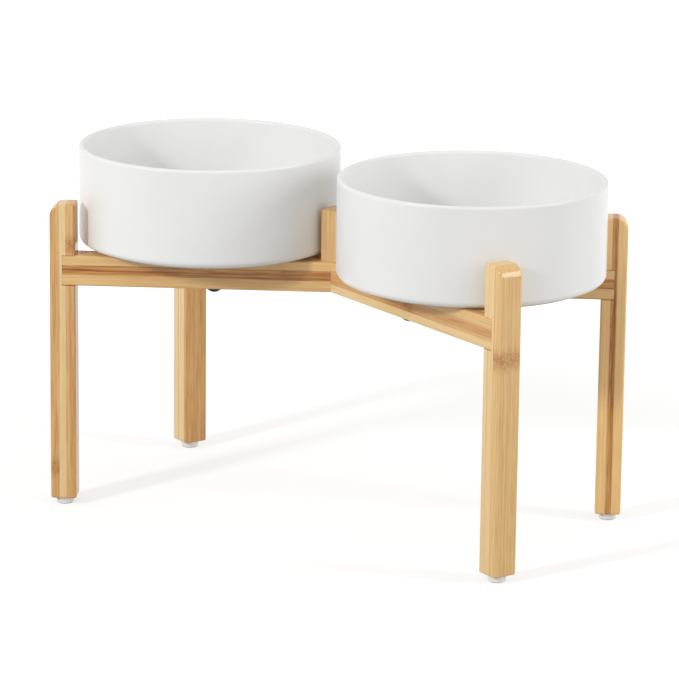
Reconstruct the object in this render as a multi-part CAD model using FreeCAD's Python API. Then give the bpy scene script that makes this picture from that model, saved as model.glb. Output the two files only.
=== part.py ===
import FreeCAD, Part
import math
import os

# Raised feeding station for a dog: two straight-sided ceramic bowls that rest side by side on two
# bamboo rails crossed like an X. Every rail end carries a square leg that also stands above the rail
# as a stop for the bowl, and a short post on the crossing keeps the bowls apart.
# Millimetres, +Z up. The origin is on the floor under the crossing, +X runs along the row of bowls,
# and the front of the object faces -Y.

# Bowls
BOWL_DIAMETER = 180.0
BOWL_HEIGHT = 69.0
BOWL_WALL = 4.0
BOWL_FLOOR = 6.0
BOWL_INNER_CORNER_RADIUS = 18.0
BOWL_LOWER_EDGE_RADIUS = 4.0
FOOT_RING_HEIGHT = 2.2
FOOT_RING_INSET = 8.0
FOOT_RING_WIDTH = 5.0

# Room around a bowl, beside the middle post and at the corners of the legs
BOWL_TO_POST_CLEARANCE = 3.1
BOWL_TO_LEG_CLEARANCE = 3.7

# Rails
RAIL_HEIGHT = 21.0
RAIL_HALF_ANGLE = 25.9
RAIL_EDGE_RADIUS = 1.2

# Legs, whose square section is also the width of the rails
LEG_WIDTH = 17.6
LEG_BELOW_RAIL = 151.2
LEG_ABOVE_RAIL = 35.5
LEG_TOP_RADIUS = 8.6
LEG_EDGE_RADIUS = 1.5

# Joints of the wood: rail ends housed in the legs, and rails lapped at the crossing
RAIL_SEAT_DEPTH = 9.0
JOINT_CLEARANCE = 0.1
DOWEL_DIAMETER = 6.0
DOWEL_IN_LEG = 5.0
DOWEL_IN_RAIL = 15.0
DOWEL_CHAMFER = 0.8

# Middle post and the wood screw that holds it
POST_WIDTH = 17.6
POST_EDGE_RADIUS = 1.2
SCREW_DIAMETER = 4.0
SCREW_HEAD_DIAMETER = 8.0
SCREW_HEAD_HEIGHT = 2.6
SCREW_IN_POST = 20.0
SCREW_TIP = 5.0
SCREW_RECESS_LENGTH = 4.4
SCREW_RECESS_WIDTH = 1.0
SCREW_RECESS_DEPTH = 1.4

# Feet under the legs, each held by a small pan-head screw
FOOT_DIAMETER = 12.4
FOOT_BASE_DIAMETER = 11.6
FOOT_HEIGHT = 5.0
FOOT_EDGE_RADIUS = 1.4
FOOT_SCREW_DIAMETER = 3.0
FOOT_SCREW_IN_LEG = 14.0
FOOT_SCREW_TIP = 3.0
FOOT_SCREW_HEAD_DIAMETER = 5.6
FOOT_SCREW_HEAD_HEIGHT = 1.8
FOOT_SCREW_RECESS_LENGTH = 3.0
FOOT_SCREW_RECESS_WIDTH = 0.7
FOOT_SCREW_RECESS_DEPTH = 0.9
FOOT_WEB = 1.8

# Rubber bumpers through the rails under the bowls
BUMPER_SETBACK = 7.5
BUMPER_HEAD_DIAMETER = 14.0
BUMPER_TAIL_DIAMETER = 12.0
BUMPER_TAIL_HEIGHT = 3.6
BUMPER_STEM_DIAMETER = 6.0
BUMPER_EDGE_RADIUS = 0.7
BUMPER_TO_BOWL_CLEARANCE = 0.3

# Clearance of a pin or screw in its hole, on the radius, and the overrun of every cut
HOLE_CLEARANCE = 0.1
CUT_OVERRUN = 1.0

# Levels above the floor
leg_base = FOOT_HEIGHT
rail_low = leg_base + LEG_BELOW_RAIL
rail_high = rail_low + RAIL_HEIGHT
rail_middle = (rail_low + rail_high) / 2
leg_top = rail_high + LEG_ABOVE_RAIL

# Plan: the bowls follow the post, and the legs follow the bowls
half_angle = math.radians(RAIL_HALF_ANGLE)
half_width = LEG_WIDTH / 2
bowl_radius = BOWL_DIAMETER / 2
bowl_offset = POST_WIDTH / 2 + BOWL_TO_POST_CLEARANCE + bowl_radius
bowl_along_rail = bowl_offset * math.cos(half_angle)
bowl_beside_rail = bowl_offset * math.sin(half_angle)
stop_radius = bowl_radius + BOWL_TO_LEG_CLEARANCE
leg_inner_face = bowl_along_rail + math.sqrt(stop_radius ** 2 - (bowl_beside_rail - half_width) ** 2)
leg_reach = leg_inner_face + half_width
seat_wall = leg_inner_face + RAIL_SEAT_DEPTH
rail_end = seat_wall - JOINT_CLEARANCE
bumper_reach = bowl_along_rail - BUMPER_SETBACK

# The compass directions in which the four half rails leave the crossing
ARM_HEADINGS = {
    "front_left": 180.0 + RAIL_HALF_ANGLE,
    "back_left": 180.0 - RAIL_HALF_ANGLE,
    "front_right": -RAIL_HALF_ANGLE,
    "back_right": RAIL_HALF_ANGLE,
}
BOWL_SIDES = {"left": -1, "right": 1}

UP = FreeCAD.Vector(0, 0, 1)
ALONG = FreeCAD.Vector(1, 0, 0)
ACROSS = FreeCAD.Vector(0, 1, 0)
ORIGIN = FreeCAD.Vector(0, 0, 0)


def turned(shape, heading):
    """The shape swung about the vertical through the crossing."""
    copy = shape.copy()
    copy.rotate(ORIGIN, UP, heading)
    return copy


def block(x_low, x_high, width, z_low, z_high):
    """A box along X, centred on Y."""
    corner = FreeCAD.Vector(x_low, -width / 2, z_low)
    return Part.makeBox(x_high - x_low, width, z_high - z_low, corner)


def upright(diameter, z_low, z_high, x=0):
    """A vertical round bar on the X axis."""
    return Part.makeCylinder(diameter / 2, z_high - z_low, FreeCAD.Vector(x, 0, z_low), UP)


def lathe(path):
    """A solid of revolution about Z from (radius, height) points; a three-point entry is an arc."""
    def place(point):
        return FreeCAD.Vector(point[0], 0, point[1])

    edges = []
    start = path[0]
    for step in path[1:]:
        if isinstance(step[0], tuple):
            middle, end = step
            edges.append(Part.Arc(place(start), place(middle), place(end)).toShape())
        else:
            end = step
            edges.append(Part.makeLine(place(start), place(end)))
        start = end
    edges.append(Part.makeLine(place(start), place(path[0])))
    return Part.Face(Part.Wire(edges)).revolve(ORIGIN, UP, 360)


def quarter(centre, radius, from_angle, to_angle):
    """The middle and end points of an arc about (radius, height) centre, angles in degrees."""
    points = []
    for angle in ((from_angle + to_angle) / 2, to_angle):
        turn = math.radians(angle)
        points.append((centre[0] + radius * math.cos(turn), centre[1] + radius * math.sin(turn)))
    return tuple(points)


def eased(shape, radius, keep):
    """The shape with a small round on every edge that keep accepts."""
    return shape.makeFillet(radius, [edge for edge in shape.Edges if keep(edge)])


def runs_along(edge, direction):
    """True for a straight edge parallel to the direction."""
    if not isinstance(edge.Curve, Part.Line):
        return False
    return edge.tangentAt(edge.FirstParameter).cross(direction).Length < math.sin(math.radians(1))


def make_bowl():
    """Straight-sided bowl on a low foot ring, with a full round lip and a wide inner corner."""
    ring_outer = bowl_radius - FOOT_RING_INSET
    ring_inner = ring_outer - FOOT_RING_WIDTH
    lower_centre = (bowl_radius - BOWL_LOWER_EDGE_RADIUS, FOOT_RING_HEIGHT + BOWL_LOWER_EDGE_RADIUS)
    lip_radius = BOWL_WALL / 2
    lip_centre = (bowl_radius - lip_radius, BOWL_HEIGHT - lip_radius)
    floor_top = FOOT_RING_HEIGHT + BOWL_FLOOR
    inner_radius = bowl_radius - BOWL_WALL
    corner_centre = (inner_radius - BOWL_INNER_CORNER_RADIUS, floor_top + BOWL_INNER_CORNER_RADIUS)
    bowl = lathe([
        (0, FOOT_RING_HEIGHT),
        (ring_inner, FOOT_RING_HEIGHT),
        (ring_inner, 0),
        (ring_outer, 0),
        (ring_outer, FOOT_RING_HEIGHT),
        (lower_centre[0], FOOT_RING_HEIGHT),
        quarter(lower_centre, BOWL_LOWER_EDGE_RADIUS, -90, 0),
        (bowl_radius, lip_centre[1]),
        quarter(lip_centre, lip_radius, 0, 90),
        quarter(lip_centre, lip_radius, 90, 180),
        (inner_radius, corner_centre[1]),
        quarter(corner_centre, BOWL_INNER_CORNER_RADIUS, 0, -90),
        (0, floor_top),
    ])
    bowl.translate(UP * rail_high)
    return bowl


def make_rail(lap_level, lap_side, other_heading):
    """One rail along X, with its dowel holes, bumper holes and its half of the lap at the crossing."""
    rail = block(-rail_end, rail_end, LEG_WIDTH, rail_low, rail_high)
    rail = eased(rail, RAIL_EDGE_RADIUS, lambda edge: runs_along(edge, ALONG))
    lap_width = LEG_WIDTH + 2 * JOINT_CLEARANCE
    lap_far = lap_level + lap_side * (RAIL_HEIGHT / 2 + CUT_OVERRUN)
    lap_near = lap_level - lap_side * JOINT_CLEARANCE / 2
    lap = block(-rail_end, rail_end, lap_width, min(lap_far, lap_near), max(lap_far, lap_near))
    rail = rail.cut(turned(lap, other_heading))
    below = rail_low - CUT_OVERRUN
    above = rail_high + CUT_OVERRUN
    screw_hole = SCREW_DIAMETER + 2 * HOLE_CLEARANCE
    rail = rail.cut(upright(screw_hole, below, above))
    hole_radius = DOWEL_DIAMETER / 2 + HOLE_CLEARANCE
    stem_hole = BUMPER_STEM_DIAMETER + 2 * HOLE_CLEARANCE
    for side in (-1, 1):
        mouth = FreeCAD.Vector(side * (rail_end + CUT_OVERRUN), 0, rail_middle)
        depth = DOWEL_IN_RAIL + CUT_OVERRUN
        rail = rail.cut(Part.makeCylinder(hole_radius, depth, mouth, ALONG * -side))
        rail = rail.cut(upright(stem_hole, below, above, side * bumper_reach))
    return rail


def make_screw_head(clearance):
    """The countersunk cone under the crossing, grown by a clearance for its seat."""
    wide = SCREW_HEAD_DIAMETER / 2 + clearance
    narrow = SCREW_DIAMETER / 2 + clearance
    return Part.makeCone(wide, narrow, SCREW_HEAD_HEIGHT, FreeCAD.Vector(0, 0, rail_low), UP)


def cut_cross(screw, length, width, depth, face):
    """The screw with a cross recess for its driver in the downward face at that level."""
    slot = block(-length / 2, length / 2, width, face - CUT_OVERRUN, face + depth)
    for heading in (0, 90):
        screw = screw.cut(turned(slot, heading))
    return screw


def make_post_screw():
    """Countersunk wood screw, driven up through the lapped rails into the post."""
    shank_top = rail_high + SCREW_IN_POST - SCREW_TIP
    screw = make_screw_head(0)
    screw = screw.fuse(upright(SCREW_DIAMETER, rail_low + SCREW_HEAD_HEIGHT, shank_top))
    tip_place = FreeCAD.Vector(0, 0, shank_top)
    screw = screw.fuse(Part.makeCone(SCREW_DIAMETER / 2, 0, SCREW_TIP, tip_place, UP))
    screw = cut_cross(screw, SCREW_RECESS_LENGTH, SCREW_RECESS_WIDTH, SCREW_RECESS_DEPTH, rail_low)
    return screw.removeSplitter()


def make_post():
    """Square post that stands on the crossing, with its screw hole from below."""
    half = POST_WIDTH / 2
    post = block(-half, half, POST_WIDTH, rail_high, leg_top)
    post = eased(post, POST_EDGE_RADIUS, lambda edge: edge.BoundBox.ZMax > rail_high + POST_EDGE_RADIUS)
    hole = SCREW_DIAMETER + 2 * HOLE_CLEARANCE
    return post.cut(upright(hole, rail_high - CUT_OVERRUN, rail_high + SCREW_IN_POST + CUT_OVERRUN))


def make_leg():
    """Leg at the +X end of a rail: outer top edge rounded, inner face notched for the rail end."""
    inner = leg_inner_face
    outer = inner + LEG_WIDTH
    top_centre = FreeCAD.Vector(outer - LEG_TOP_RADIUS, -half_width, leg_top - LEG_TOP_RADIUS)
    slope = math.sqrt(2) / 2

    def corner(x, z):
        return FreeCAD.Vector(x, -half_width, z)

    crown = top_centre + FreeCAD.Vector(slope, 0, slope) * LEG_TOP_RADIUS
    round_start = corner(outer, top_centre.z)
    round_end = corner(top_centre.x, leg_top)
    edges = [
        Part.makeLine(corner(inner, leg_base), corner(outer, leg_base)),
        Part.makeLine(corner(outer, leg_base), round_start),
        Part.Arc(round_start, crown, round_end).toShape(),
        Part.makeLine(round_end, corner(inner, leg_top)),
        Part.makeLine(corner(inner, leg_top), corner(inner, leg_base)),
    ]
    leg = Part.Face(Part.Wire(edges)).extrude(ACROSS * LEG_WIDTH)
    leg = eased(leg, LEG_EDGE_RADIUS, lambda edge: not smooth_seam(edge, top_centre))
    notch = block(inner - CUT_OVERRUN, seat_wall, LEG_WIDTH + CUT_OVERRUN,
                  rail_low - JOINT_CLEARANCE, rail_high + JOINT_CLEARANCE)
    leg = leg.cut(notch)
    dowel_hole = DOWEL_DIAMETER / 2 + HOLE_CLEARANCE
    mouth = FreeCAD.Vector(seat_wall - CUT_OVERRUN, 0, rail_middle)
    leg = leg.cut(Part.makeCylinder(dowel_hole, DOWEL_IN_LEG + CUT_OVERRUN, mouth, ALONG))
    screw_hole = FOOT_SCREW_DIAMETER + 2 * HOLE_CLEARANCE
    return leg.cut(upright(screw_hole, leg_base - CUT_OVERRUN, leg_base + FOOT_SCREW_IN_LEG, leg_reach))


def smooth_seam(edge, top_centre):
    """True for the two lines across the leg where its top round runs into the flat faces."""
    if not runs_along(edge, ACROSS):
        return False
    middle = edge.CenterOfMass
    on_round = math.hypot(middle.x - top_centre.x, middle.z - top_centre.z)
    return abs(on_round - LEG_TOP_RADIUS) < JOINT_CLEARANCE


def make_dowel():
    """Hidden wood dowel between the rail end and the back of the leg's notch."""
    length = DOWEL_IN_LEG + DOWEL_IN_RAIL - 2 * JOINT_CLEARANCE
    start = FreeCAD.Vector(seat_wall - DOWEL_IN_RAIL + JOINT_CLEARANCE, 0, rail_middle)
    dowel = Part.makeCylinder(DOWEL_DIAMETER / 2, length, start, ALONG)
    rims = [edge for edge in dowel.Edges if isinstance(edge.Curve, Part.Circle)]
    return dowel.makeChamfer(DOWEL_CHAMFER, rims)


def make_foot():
    """Tapered round foot under a leg, with a counterbore from below for its screw."""
    base = FOOT_BASE_DIAMETER / 2
    bore = FOOT_SCREW_HEAD_DIAMETER / 2 + 2 * HOLE_CLEARANCE
    hole = FOOT_SCREW_DIAMETER / 2 + HOLE_CLEARANCE
    web_low = FOOT_HEIGHT - FOOT_WEB
    edge_centre = (base - FOOT_EDGE_RADIUS, FOOT_EDGE_RADIUS)
    foot = lathe([
        (bore, 0),
        (edge_centre[0], 0),
        quarter(edge_centre, FOOT_EDGE_RADIUS, -90, 0),
        (FOOT_DIAMETER / 2, FOOT_HEIGHT),
        (hole, FOOT_HEIGHT),
        (hole, web_low),
        (bore, web_low),
    ])
    foot.translate(ALONG * leg_reach)
    return foot


def make_foot_screw():
    """Pan-head screw that holds a foot, its head up inside the counterbore."""
    head_top = FOOT_HEIGHT - FOOT_WEB
    head_low = head_top - FOOT_SCREW_HEAD_HEIGHT
    head = FOOT_SCREW_HEAD_DIAMETER / 2
    shank = FOOT_SCREW_DIAMETER / 2
    tip = leg_base + FOOT_SCREW_IN_LEG - JOINT_CLEARANCE
    screw = lathe([
        (0, head_low),
        (shank, head_low),
        (head, head_top - FOOT_SCREW_HEAD_HEIGHT / 2),
        (head, head_top),
        (shank, head_top),
        (shank, tip - FOOT_SCREW_TIP),
        (0, tip),
    ])
    screw = cut_cross(screw, FOOT_SCREW_RECESS_LENGTH, FOOT_SCREW_RECESS_WIDTH,
                      FOOT_SCREW_RECESS_DEPTH, head_low)
    screw.translate(ALONG * leg_reach)
    return screw


def make_bumper():
    """Rubber bumper: a flat head under the bowl, a stem through the rail and a domed tail below it."""
    head = BUMPER_HEAD_DIAMETER / 2
    stem = BUMPER_STEM_DIAMETER / 2
    tail = BUMPER_TAIL_DIAMETER / 2
    head_top = rail_high + FOOT_RING_HEIGHT - BUMPER_TO_BOWL_CLEARANCE
    head_centre = (head - BUMPER_EDGE_RADIUS, head_top - BUMPER_EDGE_RADIUS)
    dome_radius = (tail ** 2 + BUMPER_TAIL_HEIGHT ** 2) / (2 * BUMPER_TAIL_HEIGHT)
    dome_centre = (0, rail_low - BUMPER_TAIL_HEIGHT + dome_radius)
    dome_edge = -math.degrees(math.acos(tail / dome_radius))
    bumper = lathe([
        (0, rail_low - BUMPER_TAIL_HEIGHT),
        quarter(dome_centre, dome_radius, -90, dome_edge),
        (stem, rail_low),
        (stem, rail_high),
        (head, rail_high),
        (head, head_centre[1]),
        quarter(head_centre, BUMPER_EDGE_RADIUS, 0, 90),
        (0, head_top),
    ])
    bumper.translate(ALONG * bumper_reach)
    return bumper


def build():
    """Every piece by name, in its place."""
    pieces = {}
    under = make_rail(rail_middle, 1, 2 * RAIL_HALF_ANGLE)
    under = under.cut(make_screw_head(HOLE_CLEARANCE))
    over = make_rail(rail_middle, -1, -2 * RAIL_HALF_ANGLE)
    pieces["rail_under"] = turned(under, -RAIL_HALF_ANGLE)
    pieces["rail_over"] = turned(over, RAIL_HALF_ANGLE)
    pieces["middle_post"] = make_post()
    pieces["post_screw"] = make_post_screw()
    arm_pieces = {
        "leg": make_leg(),
        "dowel": make_dowel(),
        "foot": make_foot(),
        "foot_screw": make_foot_screw(),
        "bumper": make_bumper(),
    }
    for place, heading in ARM_HEADINGS.items():
        for kind, shape in arm_pieces.items():
            pieces[f"{kind}_{place}"] = turned(shape, heading)
    bowl = make_bowl()
    for place, side in BOWL_SIDES.items():
        copy = bowl.copy()
        copy.translate(ALONG * (side * bowl_offset))
        pieces[f"bowl_{place}"] = copy
    return pieces


os.makedirs("parts", exist_ok=True)
for name, shape in build().items():
    shape.exportStep(f"parts/{name}.step")
    state = "valid" if shape.isValid() else "INVALID"
    print(name, len(shape.Solids), "solid", round(shape.Volume), "mm3", state)
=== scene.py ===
import math

import bmesh
import bpy
from mathutils import Matrix, Vector


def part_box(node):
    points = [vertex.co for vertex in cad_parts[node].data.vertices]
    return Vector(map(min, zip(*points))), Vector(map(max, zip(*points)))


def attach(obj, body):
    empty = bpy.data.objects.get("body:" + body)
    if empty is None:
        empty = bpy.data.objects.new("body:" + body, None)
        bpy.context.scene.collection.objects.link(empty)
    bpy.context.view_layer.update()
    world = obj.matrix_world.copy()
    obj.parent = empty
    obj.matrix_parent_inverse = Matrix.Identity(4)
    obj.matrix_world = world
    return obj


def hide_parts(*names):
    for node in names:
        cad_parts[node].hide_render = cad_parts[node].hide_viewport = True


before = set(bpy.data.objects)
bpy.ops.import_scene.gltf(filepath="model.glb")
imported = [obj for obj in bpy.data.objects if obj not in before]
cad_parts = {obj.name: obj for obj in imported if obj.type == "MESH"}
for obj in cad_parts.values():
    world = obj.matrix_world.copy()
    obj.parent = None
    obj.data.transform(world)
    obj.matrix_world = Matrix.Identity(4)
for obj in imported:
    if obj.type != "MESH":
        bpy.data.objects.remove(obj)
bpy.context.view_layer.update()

# Raised feeder for a dog: two matte white ceramic bowls on a crossed stand of laminated bamboo.
# Metres, +Z up, in the frame of the CAD part. The front of the object faces -Y.

MM = 0.001

# Wood sizes
LEG_WIDTH = 17.6 * MM
LEG_TOP_ROUND = 8.6 * MM
LEG_EASING = 1.5 * MM
RAIL_EASING = 1.2 * MM
POST_EASING = 1.2 * MM
NOTCH_DEPTH = 9.0 * MM
JOINT_GAP = 0.1 * MM
ROUND_STEPS = 12
EASING_STEPS = 3
SHARP_ANGLE = math.radians(35)
TOUCH = 0.001 * MM

# Bowl sizes
BOWL_WALL = 4.0 * MM
BOWL_FLOOR = 6.0 * MM
BOWL_INNER_CORNER = 18.0 * MM
BOWL_LOWER_EDGE = 4.0 * MM
LIP_ROUND = 1.95 * MM
FOOT_RING_HEIGHT = 2.2 * MM
FOOT_RING_INSET = 8.0 * MM
FOOT_RING_WIDTH = 5.0 * MM
FOOT_RING_EASING = 0.7 * MM
BOWL_STEPS = 160

# Foot and bumper sizes
FOOT_BASE_RADIUS = 5.8 * MM
FOOT_EDGE = 1.4 * MM
FOOT_TOP_EASING = 0.3 * MM
FOOT_BORE_RADIUS = 3.0 * MM
FOOT_HOLE_RADIUS = 1.6 * MM
FOOT_WEB = 1.8 * MM
BUMPER_STEM_RADIUS = 3.0 * MM
BUMPER_TAIL_RADIUS = 6.0 * MM
BUMPER_DOME_FLAT = 4.0 * MM
BUMPER_DOME_ROUND = 3.825 * MM
BUMPER_EDGE = 0.7 * MM
SMALL_STEPS = 64

# Levels and plan from the CAD part
PLACES = ("front_left", "back_left", "front_right", "back_right")
SIDES = ("left", "right")
rail_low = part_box("rail_over")[0].z
rail_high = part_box("rail_over")[1].z
rail_middle = (rail_low + rail_high) / 2
rail_height = rail_high - rail_low
leg_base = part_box("leg_front_left")[0].z
leg_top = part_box("leg_front_left")[1].z


def middle_of(node):
    """The middle of a CAD node's box."""
    low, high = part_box(node)
    return (low + high) / 2


def heading_of(place):
    """The direction in which the rail leaves the crossing for the leg at that place."""
    foot = middle_of("foot_" + place)
    return math.atan2(foot.y, foot.x)


leg_reach = math.hypot(middle_of("foot_front_left").x, middle_of("foot_front_left").y)
leg_outer = leg_reach + LEG_WIDTH / 2
leg_inner = leg_reach - LEG_WIDTH / 2
rail_end = leg_inner + NOTCH_DEPTH - JOINT_GAP


# Meshes

def bevel(bm, geometry, width, steps, affect="EDGES"):
    """A round of that width on edges or corners."""
    bmesh.ops.bevel(bm, geom=geometry, offset=width, offset_type="OFFSET", affect=affect,
                    segments=steps, profile=0.5, material=-1)


def block(low, high):
    """A box between two corners."""
    bm = bmesh.new()
    bmesh.ops.create_cube(bm, size=1)
    bmesh.ops.scale(bm, vec=high - low, verts=bm.verts)
    bmesh.ops.translate(bm, vec=(low + high) / 2, verts=bm.verts)
    return bm


def ease(bm, width, wanted=lambda edge: True):
    """A small round on the sharp edges that are wanted."""
    edges = [edge for edge in bm.edges if edge.calc_face_angle(0) > SHARP_ANGLE and wanted(edge)]
    bevel(bm, edges, width, EASING_STEPS)


def cut_notch(bm, walls, is_inside):
    """A square-sided notch: the mesh is split along each wall, cleared inside and closed again."""
    for point, normal in walls:
        geometry = bm.verts[:] + bm.edges[:] + bm.faces[:]
        bmesh.ops.bisect_plane(bm, geom=geometry, plane_co=point, plane_no=normal, dist=TOUCH)
    cleared = [face for face in bm.faces if is_inside(face.calc_center_median())]
    bmesh.ops.delete(bm, geom=cleared, context="FACES")
    for point, normal in walls:
        rim = [vert for vert in bm.verts
               if vert.is_boundary and abs((vert.co - point).dot(normal)) < TOUCH]
        bmesh.ops.contextual_create(bm, geom=rim)
    bmesh.ops.recalc_face_normals(bm, faces=bm.faces)


def lathe(corners, steps, closed=False):
    """A turned piece from (radius, height, round) corners, about the Z axis."""
    bm = bmesh.new()
    line = [bm.verts.new((radius, 0, height)) for radius, height, _ in corners]
    ends = line[1:] + line[:1] if closed else line[1:]
    for start, end in zip(line, ends):
        bm.edges.new((start, end))
    for vert, (_, _, corner_round) in zip(line, corners):
        if corner_round:
            bevel(bm, [vert], corner_round, ROUND_STEPS, affect="VERTICES")
    bmesh.ops.spin(bm, geom=bm.verts[:] + bm.edges[:], cent=(0, 0, 0), axis=(0, 0, 1), dvec=(0, 0, 0),
                   angle=math.tau, steps=steps, use_merge=True, use_duplicate=False)
    bmesh.ops.remove_doubles(bm, verts=bm.verts, dist=TOUCH)
    bmesh.ops.recalc_face_normals(bm, faces=bm.faces)
    return bm


def lay_grain(bm, board):
    """Keeps each point's place in its board: along the grain, across it, and through the plies."""
    layer = bm.verts.layers.float_vector.new("board")
    for vert in bm.verts:
        vert[layer] = board(vert.co)


def turn(bm, heading):
    """Swings a piece about the vertical through the crossing."""
    bmesh.ops.rotate(bm, verts=bm.verts, cent=(0, 0, 0), matrix=Matrix.Rotation(heading, 3, "Z"))


def place_piece(name, bm, finishes, body, node):
    """Puts a finished mesh on its body, in place of its CAD node."""
    mesh = bpy.data.meshes.new(name)
    bm.to_mesh(mesh)
    bm.free()
    for finish in finishes:
        mesh.materials.append(finish)
    mesh.shade_smooth()
    mesh.set_sharp_from_angle(angle=SHARP_ANGLE)
    piece = bpy.data.objects.new(name, mesh)
    bpy.context.scene.collection.objects.link(piece)
    flat_faces = piece.modifiers.new("flat faces stay flat", "WEIGHTED_NORMAL")
    flat_faces.keep_sharp = True
    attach(piece, body)
    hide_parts(node)


# Materials

def linear(colour):
    """The linear colour of an sRGB hex value."""
    channels = [int(colour[place:place + 2], 16) / 255 for place in (1, 3, 5)]
    return [c / 12.92 if c <= 0.04045 else ((c + 0.055) / 1.055) ** 2.4 for c in channels] + [1.0]


def add(tree, kind, inputs=None, **settings):
    """A shader node with its settings, and with a value or a link on each named input."""
    node = tree.nodes.new("ShaderNode" + kind)
    for setting, value in settings.items():
        setattr(node, setting, value)
    for socket, value in (inputs or {}).items():
        if isinstance(value, bpy.types.NodeSocket):
            tree.links.new(value, node.inputs[socket])
        else:
            node.inputs[socket].default_value = value
    return node


def blank_material(name):
    """A material with no nodes yet, and its tree."""
    material = bpy.data.materials.new(name)
    material.use_nodes = True
    material.node_tree.nodes.clear()
    return material, material.node_tree


# Laminated bamboo under satin lacquer: plies of different tone with a thin glue line between them,
# fine fibres along the grain, a darker band where the cane had a knuckle, and a soft sheen.
# The fibres and glue lines are drawn a little coarser than real ones, so that they show.
CREAM = "#F8DBA4"
STRAW = "#F0D097"
# Corn: a warmer, brighter tone, partly the wood's own hue and partly painted light lifting a leg that stands
# in the bowl's shade
CORN_WITH_PAINTED_LIGHT = "#F6CC8A"
HONEY = "#ECC485"
# Oat: a duller, darker tone, partly the wood's own and partly painted shade for the post standing between the
# bowls
OAT_WITH_PAINTED_SHADE = "#DCB57A"
AMBER = "#E4B475"
TOAST = "#D49E55"
GLUE = "#E0BC84"
KNUCKLE = "#A8641E"
STREAKINESS = {
    CREAM: 0.18, STRAW: 0.18, CORN_WITH_PAINTED_LIGHT: 0.2, HONEY: 0.28, OAT_WITH_PAINTED_SHADE: 0.28, AMBER: 0.45, TOAST: 0.95, GLUE: 0.3}
FIBRE_SHADE = "#CDA878"
FIBRE_LIGHT = "#FFFFFF"
FIBRE_WIDTH = 0.7 * MM
FIBRE_LENGTH = 24.0 * MM
FIBRE_RELIEF = 0.05 * MM
FIBRE_LEVELS = (0.34, 0.56)
STREAK_WIDTH = 1.7 * MM
STREAK_LENGTH = 150.0 * MM
STREAK_LEVELS = (0.36, 0.58)
KNUCKLE_HALF_HEIGHT = 10.5 * MM
KNUCKLE_RAGGEDNESS = 3.5 * MM
MOTTLE_SIZE = 2.4 * MM
MOTTLE_LEVELS = (0.4, 0.62)
MOTTLE_STRENGTHS = (0.25, 0.8)
GLUE_HALF_WIDTH = 0.45 * MM
PLY_WANDER = 0.5 * MM
WOOD_ROUGHNESS = (0.45, 0.6)
LACQUER = {"Coat Weight": 0.8, "Coat Roughness": 0.12, "Coat IOR": 1.5}


def bamboo(name, thickness, plies, knuckles, start):
    """The finish of one board, cut from the grain's pattern at its own start.

    Plies are (share of the thickness where the ply ends, tone), and knuckles are
    (place along the board, share where its ply starts, share where it ends).
    """
    material, tree = blank_material(name)
    board = add(tree, "Attribute", attribute_name="board").outputs["Vector"]
    parts = add(tree, "SeparateXYZ", {0: board}).outputs
    own = add(tree, "VectorMath", {0: board, 1: (start, start, 0)}, operation="ADD").outputs[0]
    fibre = grain_pattern(tree, own, FIBRE_LENGTH, FIBRE_WIDTH, detail=2.0)
    streak = grain_pattern(tree, own, STREAK_LENGTH, STREAK_WIDTH, detail=3.0)

    wander = add(tree, "MapRange", {
        "Value": streak, "To Min": -PLY_WANDER, "To Max": PLY_WANDER}).outputs[0]
    through = add(tree, "Math", {0: parts["Z"], 1: wander}, operation="ADD").outputs[0]
    share = add(tree, "Math", {0: through, 1: thickness}, operation="DIVIDE").outputs[0]
    shown = ply_ramp(tree, share, thickness, plies)
    colour = fibre_tint(tree, shown["Color"], fibre, FIBRE_LEVELS, shown["Alpha"])
    colour = fibre_tint(tree, colour, streak, STREAK_LEVELS, shown["Alpha"])
    for knuckle in knuckles:
        colour = knuckle_tint(tree, colour, own, parts["X"], share, streak, knuckle)

    roughness = add(tree, "MapRange", {
        "Value": fibre, "To Min": WOOD_ROUGHNESS[0], "To Max": WOOD_ROUGHNESS[1]}).outputs[0]
    bump = add(tree, "Bump", {"Height": fibre, "Strength": 0.15, "Distance": FIBRE_RELIEF}).outputs[0]
    shader = add(tree, "BsdfPrincipled", {
        "Base Color": colour, "Roughness": roughness, "Normal": bump, "IOR": 1.5,
        "Specular IOR Level": 0.0, **LACQUER})
    add(tree, "OutputMaterial", {"Surface": shader.outputs[0]})
    return material


def grain_pattern(tree, own, length, width, detail):
    """A pattern drawn out along the board, for what runs with the grain."""
    place = add(tree, "Mapping", {"Vector": own, "Scale": (1 / length, 1 / width, 1 / width)}).outputs[0]
    return add(tree, "TexNoise", {"Vector": place, "Scale": 1.0, "Detail": detail}).outputs[0]


def ply_ramp(tree, share, thickness, plies):
    """The plies' tones through the board's thickness, with a glue line where two plies meet."""
    ramp = add(tree, "ValToRGB", {"Fac": share})
    stops = ramp.color_ramp.elements
    stops[0].color = ply_tone(plies[0][1])
    stops[1].color = ply_tone(plies[-1][1])
    glue_share = GLUE_HALF_WIDTH / thickness
    for (end, tone), (_, next_tone) in zip(plies, plies[1:]):
        for place, colour in ((end - glue_share, tone), (end, GLUE), (end + glue_share, next_tone)):
            stops.new(place).color = ply_tone(colour)
    return ramp.outputs


def ply_tone(colour):
    """The linear colour of a ply, with how far its fibres stand out in the alpha channel."""
    return linear(colour)[:3] + [STREAKINESS[colour]]


def fibre_tint(tree, colour, pattern, levels, strength):
    """Darkens a colour where the pattern of fibres is low."""
    level = add(tree, "MapRange", {"Value": pattern, "From Min": levels[0], "From Max": levels[1]}).outputs[0]
    tint = add(tree, "Mix", {
        0: level, 6: linear(FIBRE_SHADE), 7: linear(FIBRE_LIGHT)}, data_type="RGBA").outputs[2]
    return add(tree, "Mix", {
        0: strength, 6: colour, 7: tint}, data_type="RGBA", blend_type="MULTIPLY").outputs[2]


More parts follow.
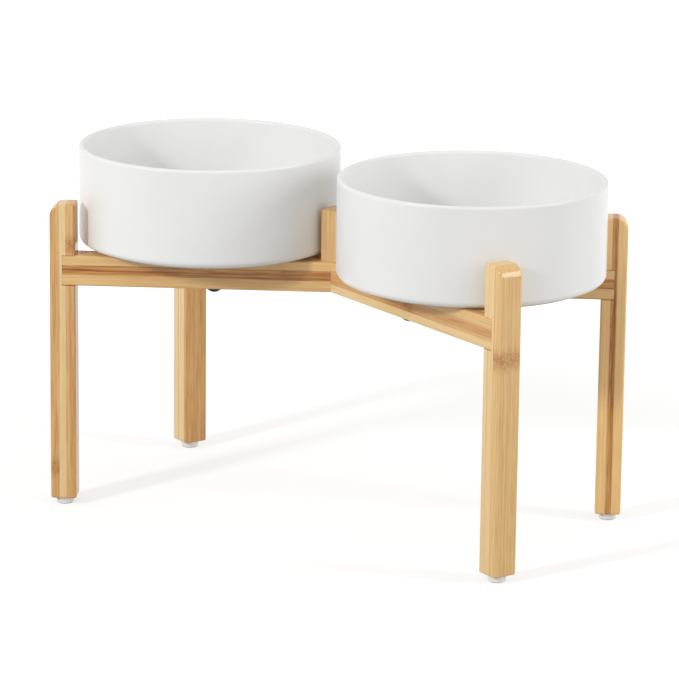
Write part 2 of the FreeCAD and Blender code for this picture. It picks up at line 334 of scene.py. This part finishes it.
def knuckle_tint(tree, colour, own, along, share, streak, knuckle):
    """Darkens a colour in a ragged, mottled band across one ply."""
    place, start, end = knuckle
    mottle = add(tree, "TexNoise", {
        "Vector": own, "Scale": 1 / MOTTLE_SIZE, "Detail": 3.0, "Distortion": 1.5}).outputs[0]
    mottle = add(tree, "MapRange", {
        "Value": mottle, "From Min": MOTTLE_LEVELS[0], "From Max": MOTTLE_LEVELS[1],
        "To Min": MOTTLE_STRENGTHS[0], "To Max": MOTTLE_STRENGTHS[1]}).outputs[0]
    ragged = add(tree, "MapRange", {
        "Value": streak, "To Min": -KNUCKLE_RAGGEDNESS, "To Max": KNUCKLE_RAGGEDNESS}).outputs[0]
    away = add(tree, "Math", {0: along, 1: place}, operation="SUBTRACT").outputs[0]
    away = add(tree, "Math", {0: away, 1: ragged}, operation="ADD").outputs[0]
    away = add(tree, "Math", {0: away}, operation="ABSOLUTE").outputs[0]
    band = add(tree, "MapRange", {
        "Value": away, "From Min": 0.0, "From Max": KNUCKLE_HALF_HEIGHT, "To Min": 1.0, "To Max": 0.0},
        interpolation_type="SMOOTHSTEP").outputs[0]
    beside = add(tree, "Math", {0: share, 1: (start + end) / 2}, operation="SUBTRACT").outputs[0]
    beside = add(tree, "Math", {0: beside}, operation="ABSOLUTE").outputs[0]
    in_ply = add(tree, "Math", {0: beside, 1: (end - start) / 2}, operation="LESS_THAN").outputs[0]
    mask = add(tree, "Math", {0: band, 1: in_ply}, operation="MULTIPLY").outputs[0]
    mask = add(tree, "Math", {0: mask, 1: mottle}, operation="MULTIPLY").outputs[0]
    return add(tree, "Mix", {0: mask, 6: colour, 7: linear(KNUCKLE)}, data_type="RGBA").outputs[2]


# Stoneware under a matte white glaze: an even eggshell skin, faintly cloudy, that mirrors nothing sharply.
# The skin's grain is drawn coarser than a real one, so that it shows.
GLAZE = "#EEEEED"
GLAZE_CLOUD = "#ECECEA"
GLAZE_ROUGHNESS = (0.27, 0.33)
CLOUD_SIZE = 38.0 * MM
EGGSHELL_GRAIN = 1.4 * MM
EGGSHELL_RELIEF = 0.05 * MM


def matte_glaze():
    material, tree = blank_material("matte white glaze")
    place = add(tree, "TexCoord").outputs["Object"]
    cloud = add(tree, "TexNoise", {"Vector": place, "Scale": 1 / CLOUD_SIZE, "Detail": 3.0}).outputs[0]
    skin = add(tree, "TexNoise", {"Vector": place, "Scale": 1 / EGGSHELL_GRAIN, "Detail": 2.0}).outputs[0]
    level = add(tree, "MapRange", {"Value": cloud, "From Min": 0.35, "From Max": 0.65}).outputs[0]
    colour = add(tree, "Mix", {
        0: level, 6: linear(GLAZE_CLOUD), 7: linear(GLAZE)}, data_type="RGBA").outputs[2]
    roughness = add(tree, "MapRange", {
        "Value": skin, "To Min": GLAZE_ROUGHNESS[0], "To Max": GLAZE_ROUGHNESS[1]}).outputs[0]
    bump = add(tree, "Bump", {"Height": skin, "Strength": 0.1, "Distance": EGGSHELL_RELIEF}).outputs[0]
    shader = add(tree, "BsdfPrincipled", {
        "Base Color": colour, "Roughness": roughness, "Normal": bump, "IOR": 1.5, "Specular IOR Level": 0.25})
    add(tree, "OutputMaterial", {"Surface": shader.outputs[0]})
    return material


# Bare fired clay where the foot ring was wiped clean of glaze: dull, buff and faintly gritty.
CLAY = "#D8CBB5"
CLAY_GRIT = "#BBA98E"
GRIT_SIZE = 0.8 * MM
GRIT_RELIEF = 0.1 * MM


def bare_clay():
    material, tree = blank_material("bare fired clay")
    place = add(tree, "TexCoord").outputs["Object"]
    grit = add(tree, "TexNoise", {"Vector": place, "Scale": 1 / GRIT_SIZE, "Detail": 4.0}).outputs[0]
    level = add(tree, "MapRange", {"Value": grit, "From Min": 0.3, "From Max": 0.6}).outputs[0]
    colour = add(tree, "Mix", {
        0: level, 6: linear(CLAY_GRIT), 7: linear(CLAY)}, data_type="RGBA").outputs[2]
    bump = add(tree, "Bump", {"Height": grit, "Strength": 0.5, "Distance": GRIT_RELIEF}).outputs[0]
    shader = add(tree, "BsdfPrincipled", {
        "Base Color": colour, "Roughness": 0.9, "Normal": bump, "IOR": 1.5})
    add(tree, "OutputMaterial", {"Surface": shader.outputs[0]})
    return material


# Moulded white nylon: slightly milky, with a fine spark-eroded skin and a dull gloss.
# The skin is drawn coarser than a real one, so that it shows.
NYLON = "#FAFAF8"
NYLON_SHADE = "#F0F0EE"
NYLON_ROUGHNESS = (0.32, 0.46)
NYLON_SKIN = 0.6 * MM
NYLON_RELIEF = 0.05 * MM
NYLON_DEPTH = 1.5 * MM


def white_nylon():
    material, tree = blank_material("moulded white nylon")
    place = add(tree, "TexCoord").outputs["Object"]
    skin = add(tree, "TexNoise", {"Vector": place, "Scale": 1 / NYLON_SKIN, "Detail": 2.0}).outputs[0]
    colour = add(tree, "Mix", {
        0: skin, 6: linear(NYLON_SHADE), 7: linear(NYLON)}, data_type="RGBA").outputs[2]
    roughness = add(tree, "MapRange", {
        "Value": skin, "To Min": NYLON_ROUGHNESS[0], "To Max": NYLON_ROUGHNESS[1]}).outputs[0]
    bump = add(tree, "Bump", {"Height": skin, "Strength": 0.15, "Distance": NYLON_RELIEF}).outputs[0]
    shader = add(tree, "BsdfPrincipled", {
        "Base Color": colour, "Roughness": roughness, "Normal": bump, "IOR": 1.53,
        "Subsurface Weight": 0.2, "Subsurface Scale": NYLON_DEPTH})
    add(tree, "OutputMaterial", {"Surface": shader.outputs[0]})
    return material


# Moulded black rubber: near black and dull, with a faint bloom.
RUBBER = "#0F0F0F"
RUBBER_BLOOM = "#1B1B1A"
RUBBER_ROUGHNESS = (0.5, 0.75)
RUBBER_RELIEF = 0.05 * MM
BLOOM_SIZE = 2.2 * MM


def black_rubber():
    material, tree = blank_material("moulded black rubber")
    place = add(tree, "TexCoord").outputs["Object"]
    bloom = add(tree, "TexNoise", {"Vector": place, "Scale": 1 / BLOOM_SIZE, "Detail": 4.0}).outputs[0]
    colour = add(tree, "Mix", {
        0: bloom, 6: linear(RUBBER), 7: linear(RUBBER_BLOOM)}, data_type="RGBA").outputs[2]
    roughness = add(tree, "MapRange", {
        "Value": bloom, "To Min": RUBBER_ROUGHNESS[0], "To Max": RUBBER_ROUGHNESS[1]}).outputs[0]
    bump = add(tree, "Bump", {"Height": bloom, "Strength": 0.2, "Distance": RUBBER_RELIEF}).outputs[0]
    shader = add(tree, "BsdfPrincipled", {
        "Base Color": colour, "Roughness": roughness, "Normal": bump, "IOR": 1.52, "Specular IOR Level": 0.2})
    add(tree, "OutputMaterial", {"Surface": shader.outputs[0]})
    return material


# Zinc-plated steel of the screws: pale grey metal with a slightly uneven, brushed-looking shine.
ZINC = "#C3C5C6"
ZINC_DULL = "#A4A7A9"
ZINC_ROUGHNESS = (0.24, 0.42)
ZINC_PATCH = 1.6 * MM


def zinc_plate():
    material, tree = blank_material("zinc plated steel")
    place = add(tree, "TexCoord").outputs["Object"]
    patch = add(tree, "TexNoise", {"Vector": place, "Scale": 1 / ZINC_PATCH, "Detail": 3.0}).outputs[0]
    colour = add(tree, "Mix", {
        0: patch, 6: linear(ZINC_DULL), 7: linear(ZINC)}, data_type="RGBA").outputs[2]
    roughness = add(tree, "MapRange", {
        "Value": patch, "To Min": ZINC_ROUGHNESS[0], "To Max": ZINC_ROUGHNESS[1]}).outputs[0]
    shader = add(tree, "BsdfPrincipled", {"Base Color": colour, "Roughness": roughness, "Metallic": 1.0})
    add(tree, "OutputMaterial", {"Surface": shader.outputs[0]})
    return material


# Turned beech of the hidden dowels: pale pinkish wood with short dark flecks.
BEECH = "#D9B48A"
BEECH_FLECK = "#B98C60"
BEECH_ROUGHNESS = (0.55, 0.7)
FLECK_SIZE = 0.9 * MM


def turned_beech():
    material, tree = blank_material("turned beech")
    place = add(tree, "TexCoord").outputs["Object"]
    fleck = add(tree, "TexNoise", {"Vector": place, "Scale": 1 / FLECK_SIZE, "Detail": 2.0}).outputs[0]
    level = add(tree, "MapRange", {"Value": fleck, "From Min": 0.3, "From Max": 0.5}).outputs[0]
    colour = add(tree, "Mix", {
        0: level, 6: linear(BEECH_FLECK), 7: linear(BEECH)}, data_type="RGBA").outputs[2]
    roughness = add(tree, "MapRange", {
        "Value": fleck, "To Min": BEECH_ROUGHNESS[0], "To Max": BEECH_ROUGHNESS[1]}).outputs[0]
    shader = add(tree, "BsdfPrincipled", {"Base Color": colour, "Roughness": roughness, "IOR": 1.5})
    add(tree, "OutputMaterial", {"Surface": shader.outputs[0]})
    return material


# Boards: plies counted from a leg's outer face inwards, up a rail, and across the post from its left
PLIES = {
    "leg_front_left": [(0.36, AMBER), (0.63, STRAW), (1.0, AMBER)],
    "leg_back_left": [(0.40, CREAM), (0.84, CREAM), (1.0, AMBER)],
    "leg_front_right": [(0.36, HONEY), (0.70, STRAW), (1.0, STRAW)],
    # The back right leg's corn plies carry painted light that offsets the shade it stands in
    "leg_back_right": [(0.37, CORN_WITH_PAINTED_LIGHT), (0.60, TOAST), (1.0, CORN_WITH_PAINTED_LIGHT)],
    "rail_over": [(0.36, HONEY), (0.70, TOAST), (1.0, HONEY)],
    "rail_under": [(0.29, STRAW), (0.66, AMBER), (1.0, HONEY)],
    # The post's oat plies are darker partly with painted shade
    "middle_post": [(0.34, OAT_WITH_PAINTED_SHADE), (0.66, OAT_WITH_PAINTED_SHADE), (1.0, OAT_WITH_PAINTED_SHADE)],
}

# Knuckles: the height up a leg, or the place along a rail from the crossing, and the ply that has it.
# Those of an outer ply run a little past the board's face, since the plies wander.
KNUCKLES = {
    "leg_front_left": [(185.0 * MM, 0.63, 1.1), (27.0 * MM, -0.1, 0.36)],
    "leg_back_left": [(190.0 * MM, -0.1, 0.40)],
    "leg_front_right": [(151.0 * MM, -0.1, 0.36)],
    "leg_back_right": [(139.0 * MM, 0.37, 0.60)],
    "rail_over": [(-34.0 * MM, 0.36, 0.70), (120.0 * MM, -0.1, 0.36)],
    "rail_under": [(95.0 * MM, 0.29, 0.66), (-110.0 * MM, 0.66, 1.1)],
    "middle_post": [],
}

# Where in the grain's pattern each board is cut, so that no two look alike
GRAIN_STARTS = {
    "leg_front_left": 3.19,
    "leg_back_left": 4.56,
    "leg_front_right": 5.93,
    "leg_back_right": 7.30,
    "rail_over": 0.31,
    "rail_under": 1.73,
    "middle_post": 2.47,
}


def place_board(node, bm, thickness):
    """Puts a bamboo board on the stand, with its own plies, knuckles and grain."""
    name = "bamboo " + node.replace("_", " ")
    finish = bamboo(name, thickness, PLIES[node], KNUCKLES[node], GRAIN_STARTS[node])
    place_piece("bamboo_" + node, bm, [finish], "stand", node)


def make_leg(place):
    """Square leg with a rounded outer top edge, notched on its inner side for the rail end."""
    half = LEG_WIDTH / 2
    bm = block(Vector((leg_inner, -half, leg_base)), Vector((leg_outer, half, leg_top)))
    crown = [edge for edge in bm.edges
             if all(vert.co.x > leg_reach and vert.co.z > rail_high for vert in edge.verts)]
    bevel(bm, crown, LEG_TOP_ROUND, ROUND_STEPS)
    ease(bm, LEG_EASING)
    notch_low = rail_low - JOINT_GAP
    notch_high = rail_high + JOINT_GAP
    seat = leg_inner + NOTCH_DEPTH
    walls = [
        (Vector((0, 0, notch_low)), Vector((0, 0, 1))),
        (Vector((0, 0, notch_high)), Vector((0, 0, 1))),
        (Vector((seat, 0, 0)), Vector((1, 0, 0))),
    ]
    cut_notch(bm, walls, lambda point: point.x < seat and notch_low < point.z < notch_high)
    lay_grain(bm, lambda point: (point.z, point.y, leg_outer - point.x))
    turn(bm, heading_of(place))
    place_board("leg_" + place, bm, LEG_WIDTH)


def make_rail(node, place, other_place, lap_side):
    """Rail through the crossing, half cut away there on one side for the other rail."""
    half = LEG_WIDTH / 2
    bm = block(Vector((-rail_end, -half, rail_low)), Vector((rail_end, half, rail_high)))
    ease(bm, RAIL_EASING, lambda edge: abs(edge.verts[0].co.x - edge.verts[1].co.x) > rail_end)
    heading = heading_of(place)
    crossing = heading_of(other_place) - heading
    beside = Vector((-math.sin(crossing), math.cos(crossing), 0))
    lap_half = half + JOINT_GAP
    lap_level = Vector((0, 0, rail_middle - lap_side * JOINT_GAP / 2))
    walls = [(beside * lap_half, beside), (beside * -lap_half, beside), (lap_level, Vector((0, 0, 1)))]
    cut_notch(bm, walls, lambda point: abs(point.dot(beside)) < lap_half
              and (point.z - lap_level.z) * lap_side > 0)
    lay_grain(bm, lambda point: (point.x, point.y, point.z - rail_low))
    turn(bm, heading)
    place_board(node, bm, rail_height)


def make_post():
    """Square post on the crossing, between the bowls."""
    low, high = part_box("middle_post")
    bm = block(low, high)
    ease(bm, POST_EASING, lambda edge: max(vert.co.z for vert in edge.verts) > low.z + POST_EASING)
    lay_grain(bm, lambda point: (point.z, point.y, point.x - low.x))
    place_board("middle_post", bm, high.x - low.x)


def make_bowl(side, glaze, clay):
    """Straight-sided bowl with a full round lip, on a low foot ring wiped bare of glaze."""
    low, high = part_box("bowl_" + side)
    radius = (high.x - low.x) / 2
    height = high.z - low.z
    ring_outer = radius - FOOT_RING_INSET
    ring_inner = ring_outer - FOOT_RING_WIDTH
    inside = radius - BOWL_WALL
    floor_top = FOOT_RING_HEIGHT + BOWL_FLOOR
    bm = lathe([
        (0, FOOT_RING_HEIGHT, 0),
        (ring_inner, FOOT_RING_HEIGHT, FOOT_RING_EASING),
        (ring_inner, 0, FOOT_RING_EASING),
        (ring_outer, 0, FOOT_RING_EASING),
        (ring_outer, FOOT_RING_HEIGHT, FOOT_RING_EASING),
        (radius, FOOT_RING_HEIGHT, BOWL_LOWER_EDGE),
        (radius, height, LIP_ROUND),
        (inside, height, LIP_ROUND),
        (inside, floor_top, BOWL_INNER_CORNER),
        (0, floor_top, 0),
    ], BOWL_STEPS)
    for face in bm.faces:
        if face.calc_center_median().z < FOOT_RING_EASING:
            face.material_index = 1
    middle = middle_of("bowl_" + side)
    bmesh.ops.translate(bm, vec=(middle.x, middle.y, low.z), verts=bm.verts)
    place_piece("glazed_bowl_" + side, bm, [glaze, clay], "bowl_" + side, "bowl_" + side)


def make_foot(place, nylon):
    """Tapered round foot with a counterbore from below for its screw."""
    low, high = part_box("foot_" + place)
    height = high.z - low.z
    top_radius = (high.x - low.x) / 2
    bm = lathe([
        (FOOT_BORE_RADIUS, 0, FOOT_TOP_EASING),
        (FOOT_BASE_RADIUS, 0, FOOT_EDGE),
        (top_radius, height, FOOT_TOP_EASING),
        (FOOT_HOLE_RADIUS, height, 0),
        (FOOT_HOLE_RADIUS, height - FOOT_WEB, 0),
        (FOOT_BORE_RADIUS, height - FOOT_WEB, 0),
    ], SMALL_STEPS, closed=True)
    middle = middle_of("foot_" + place)
    bmesh.ops.translate(bm, vec=(middle.x, middle.y, low.z), verts=bm.verts)
    place_piece("nylon_foot_" + place, bm, [nylon], "stand", "foot_" + place)


def make_bumper(place, rubber):
    """Push-in bumper: flat head under the bowl, stem through the rail and a domed tail below."""
    low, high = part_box("bumper_" + place)
    head_radius = (high.x - low.x) / 2
    bm = lathe([
        (0, low.z, 0),
        (BUMPER_DOME_FLAT, low.z, BUMPER_DOME_ROUND),
        (BUMPER_TAIL_RADIUS, rail_low, 0),
        (BUMPER_STEM_RADIUS, rail_low, 0),
        (BUMPER_STEM_RADIUS, rail_high, 0),
        (head_radius, rail_high, 0),
        (head_radius, high.z, BUMPER_EDGE),
        (0, high.z, 0),
    ], SMALL_STEPS)
    middle = middle_of("bumper_" + place)
    bmesh.ops.translate(bm, vec=(middle.x, middle.y, 0), verts=bm.verts)
    place_piece("rubber_bumper_" + place, bm, [rubber], "stand", "bumper_" + place)


def dress_cad_nodes():
    """Screws and dowels keep their CAD shapes and get the look of their material."""
    zinc = zinc_plate()
    beech = turned_beech()
    for name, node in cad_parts.items():
        if "screw" in name:
            node.material_slots[0].material = zinc
        elif name.startswith("dowel"):
            node.material_slots[0].material = beech


# Studio: the floor's glow grows to plain white between two distances from the object, in metres
FLOOR_SIZE = 12.0
FLOOR_COLOUR = "#BABAB9"
GLOW_NEAR = 0.6
GLOW_START = 0.3
GLOW_FULL = 1.0
WORLD_LIGHT = 0.65


def make_floor():
    """Plain pale floor that takes the object's shadow and reads as white around it."""
    bm = bmesh.new()
    bmesh.ops.create_grid(bm, x_segments=1, y_segments=1, size=FLOOR_SIZE / 2)
    mesh = bpy.data.meshes.new("floor")
    bm.to_mesh(mesh)
    bm.free()
    floor = bpy.data.objects.new("floor", mesh)
    bpy.context.scene.collection.objects.link(floor)
    material, tree = blank_material("pale studio floor")
    rays = add(tree, "LightPath").outputs
    shown = seen_directly(tree, rays)
    place = add(tree, "TexCoord").outputs["Object"]
    away = add(tree, "VectorMath", {0: place}, operation="LENGTH").outputs["Value"]
    level = add(tree, "MapRange", {
        "Value": away, "From Min": GLOW_START, "From Max": GLOW_FULL, "To Min": GLOW_NEAR, "To Max": 1.0},
        interpolation_type="SMOOTHSTEP").outputs[0]
    glow = add(tree, "Math", {0: shown, 1: level}, operation="MULTIPLY").outputs[0]
    shader = add(tree, "BsdfPrincipled", {
        "Base Color": linear(FLOOR_COLOUR), "Roughness": 0.9, "Specular IOR Level": 0.0,
        "Emission Color": (1.0, 1.0, 1.0, 1.0), "Emission Strength": glow})
    add(tree, "OutputMaterial", {"Surface": shader.outputs[0]})
    mesh.materials.append(material)


def seen_directly(tree, rays):
    """1 for rays from the camera, a reflection or a refraction, and 0 for the rest."""
    mirrored = add(tree, "Math", {
        0: rays["Is Glossy Ray"], 1: rays["Is Transmission Ray"]}, operation="MAXIMUM").outputs[0]
    return add(tree, "Math", {0: rays["Is Camera Ray"], 1: mirrored}, operation="MAXIMUM").outputs[0]


def make_world():
    """White surround for the camera and reflections, and an even soft light for the rest."""
    world = bpy.data.worlds.new("white surround")
    world.use_nodes = True
    tree = world.node_tree
    tree.nodes.clear()
    shown = seen_directly(tree, add(tree, "LightPath").outputs)
    strength = add(tree, "MapRange", {"Value": shown, "To Min": WORLD_LIGHT, "To Max": 1.0}).outputs[0]
    light = add(tree, "Background", {"Color": (1.0, 1.0, 1.0, 1.0), "Strength": strength})
    add(tree, "OutputWorld", {"Surface": light.outputs[0]})
    bpy.context.scene.world = world


# Soft boxes: heading and height in degrees about the object, then distance, width and depth in metres,
# and power in watts
LIGHT_AIM = Vector((0, 0, 200.0 * MM))
LIGHTS = {
    "left key soft box": (250, 24, 2.0, 0.2, 0.2, 16.5),
    "right soft box": (12, 18, 1.8, 0.4, 1.0, 10.0),
}


def make_lights():
    """Soft boxes that face the object."""
    for name, (heading, height, distance, width, depth, power) in LIGHTS.items():
        lamp = bpy.data.lights.new(name, "AREA")
        lamp.shape = "RECTANGLE"
        lamp.size = width
        lamp.size_y = depth
        lamp.energy = power
        flat = math.cos(math.radians(height))
        outward = Vector((flat * math.cos(math.radians(heading)), flat * math.sin(math.radians(heading)),
                          math.sin(math.radians(height))))
        light = bpy.data.objects.new(name, lamp)
        light.location = LIGHT_AIM + outward * distance
        light.rotation_mode = "QUATERNION"
        light.rotation_quaternion = outward.to_track_quat("Z", "Y")
        bpy.context.scene.collection.objects.link(light)


# The photograph's camera, fitted to the edges of the bowls, rails and legs
PHOTO_WIDTH = 679
FOCAL_PIXELS = 4034.07
SENSOR_WIDTH = 36.0
CAMERA_AZIMUTH = math.radians(29.539)
CAMERA_PITCH = math.radians(14.583)
CAMERA_ROLL = math.radians(0.663)
CAMERA_DISTANCE = 2746.92 * MM
AIM_HEIGHT = 130.0 * MM
AIM_RIGHT = 1.566 * MM
AIM_UP = -8.375 * MM


def make_camera():
    """The camera, with the photograph's view of the object."""
    flat_back = Vector((math.sin(CAMERA_AZIMUTH), -math.cos(CAMERA_AZIMUTH), 0))
    back = flat_back * math.cos(CAMERA_PITCH) + Vector((0, 0, math.sin(CAMERA_PITCH)))
    level_right = Vector((math.cos(CAMERA_AZIMUTH), math.sin(CAMERA_AZIMUTH), 0))
    level_up = back.cross(level_right)
    right = level_right * math.cos(CAMERA_ROLL) + level_up * math.sin(CAMERA_ROLL)
    up = level_up * math.cos(CAMERA_ROLL) - level_right * math.sin(CAMERA_ROLL)
    aim = Vector((0, 0, AIM_HEIGHT)) + right * AIM_RIGHT + up * AIM_UP
    data = bpy.data.cameras.new("photo camera")
    data.sensor_width = SENSOR_WIDTH
    data.lens = SENSOR_WIDTH * FOCAL_PIXELS / PHOTO_WIDTH
    camera = bpy.data.objects.new("photo camera", data)
    turned = Matrix((right, up, back)).transposed().to_4x4()
    camera.matrix_world = Matrix.Translation(aim + back * CAMERA_DISTANCE) @ turned
    bpy.context.scene.collection.objects.link(camera)
    bpy.context.scene.camera = camera


def main():
    make_rail("rail_over", "back_right", "front_right", lap_side=-1)
    make_rail("rail_under", "front_right", "back_right", lap_side=1)
    make_post()
    for place in PLACES:
        make_leg(place)
    glaze = matte_glaze()
    clay = bare_clay()
    for side in SIDES:
        make_bowl(side, glaze, clay)
    nylon = white_nylon()
    rubber = black_rubber()
    for place in PLACES:
        make_foot(place, nylon)
        make_bumper(place, rubber)
    dress_cad_nodes()
    make_floor()
    make_world()
    make_lights()
    make_camera()
    bpy.context.scene.view_settings.view_transform = "Standard"


main()
